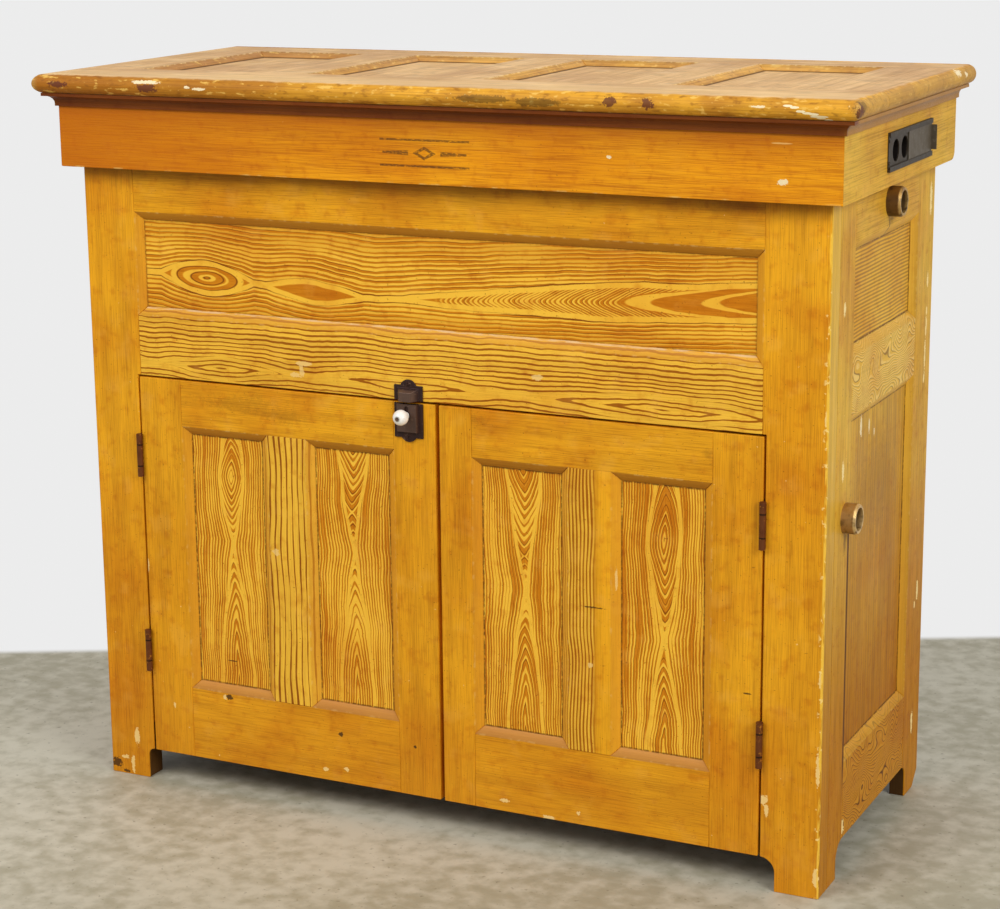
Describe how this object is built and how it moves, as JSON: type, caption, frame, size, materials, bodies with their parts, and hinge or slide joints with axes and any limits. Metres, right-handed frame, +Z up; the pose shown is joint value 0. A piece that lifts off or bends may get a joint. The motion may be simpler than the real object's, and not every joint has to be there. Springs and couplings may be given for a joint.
{
  "type": "creamery cabinet",
  "caption": "Panelled pine dairy cabinet: hinged hooded lid over a metal water tank, a two-door cupboard below, side pipe sockets and a sliding air vent.",
  "frame": {"origin": "on the floor, under the middle of the outline with the lid shut", "axes": "+X to the viewer's right, +Z up, the doors face -Y"},
  "size_m": [1.192, 0.529, 1.04],
  "materials": {
    "front_paint": "combed oak graining under old varnish, satin",
    "combed_panel": "bold combed graining with heart figures, satin",
    "side_paint": "duller graining, worn satin",
    "bare_pine": "unpainted old pine, matt",
    "tank_zinc": "dull zinc sheet",
    "pipe_iron": "brown painted pipe iron",
    "hinge_iron": "varnished over rust, satin",
    "black_iron": "black japanned iron, worn",
    "porcelain": "white glazed porcelain",
    "lid_paint": "graining worn thin and faded",
    "moulding_paint": "dark red-brown varnish, satin",
    "hood_paint": "orange graining under varnish, satin"
  },
  "bodies": {
    "root": {"front_left_stile": "front_paint", "front_right_stile": "front_paint", "front_top_rail": "front_paint", "front_middle_rail": "front_paint", "front_panel": "combed_panel", "left_front_stile": "side_paint", "left_rear_stile": "side_paint", "left_top_rail": "side_paint", "left_middle_rail": "side_paint", "left_bottom_rail": "side_paint", "left_panels": "side_paint", "right_front_stile": "side_paint", "right_rear_stile": "side_paint", "right_top_rail": "side_paint", "right_middle_rail": "side_paint", "right_bottom_rail": "side_paint", "right_panels": "side_paint", "back_boards": "bare_pine", "cupboard_floor": "bare_pine", "cupboard_shelf": "bare_pine", "tank_deck": "bare_pine", "tank": "tank_zinc", "overflow_pipe": "pipe_iron", "drain_pipe": "pipe_iron", "drain_nipple": "pipe_iron", "overflow_socket": "pipe_iron", "drain_socket": "pipe_iron", "left_hinge_case_leaves": "hinge_iron", "right_hinge_case_leaves": "hinge_iron", "lid_hinge_case_leaves": "hinge_iron", "latch_keeper": "black_iron"},
    "left_door": {"left_door_hinge_stile": "front_paint", "left_door_lock_stile": "front_paint", "left_door_top_rail": "front_paint", "left_door_bottom_rail": "front_paint", "left_door_muntin": "front_paint", "left_door_panels": "combed_panel", "left_hinge_door_leaves": "hinge_iron", "latch_case": "black_iron"},
    "right_door": {"right_door_hinge_stile": "front_paint", "right_door_lock_stile": "front_paint", "right_door_top_rail": "front_paint", "right_door_bottom_rail": "front_paint", "right_door_muntin": "front_paint", "right_door_panels": "combed_panel", "right_hinge_door_leaves": "hinge_iron"},
    "lid": {"lid_front_rail": "lid_paint", "lid_back_rail": "lid_paint", "lid_end_stiles": "lid_paint", "lid_muntins": "lid_paint", "lid_panels": "lid_paint", "cove_moulding": "moulding_paint", "hood_front": "hood_paint", "hood_left": "hood_paint", "hood_right": "hood_paint", "vent_plate": "black_iron", "lid_hinge_lid_leaves": "hinge_iron"},
    "vent_slide": {"vent_slide": "black_iron"},
    "latch": {"latch_bolt": "black_iron", "latch_knob": "porcelain"}
  },
  "joints": [
    {"name": "left_door_hinge", "type": "hinge", "parent": "root", "child": "left_door", "pos_m": [-0.472, -0.2192, 0.349], "axis": [0, 0, -1], "range_deg": [0, 175]},
    {"name": "right_door_hinge", "type": "hinge", "parent": "root", "child": "right_door", "pos_m": [0.468, -0.2192, 0.349], "axis": [0, 0, 1], "range_deg": [0, 175]},
    {"name": "lid_hinge", "type": "hinge", "parent": "root", "child": "lid", "pos_m": [0, 0.2457, 1.0088], "axis": [-1, 0, 0], "range_deg": [0, 95]},
    {"name": "vent_slide_travel", "type": "slide", "parent": "lid", "child": "vent_slide", "axis": [0, -1, 0], "range_m": [0, 0.08]},
    {"name": "latch_throw", "type": "slide", "parent": "left_door", "child": "latch", "axis": [0, 0, 1], "range_m": [0, 0.009]}
  ]
}
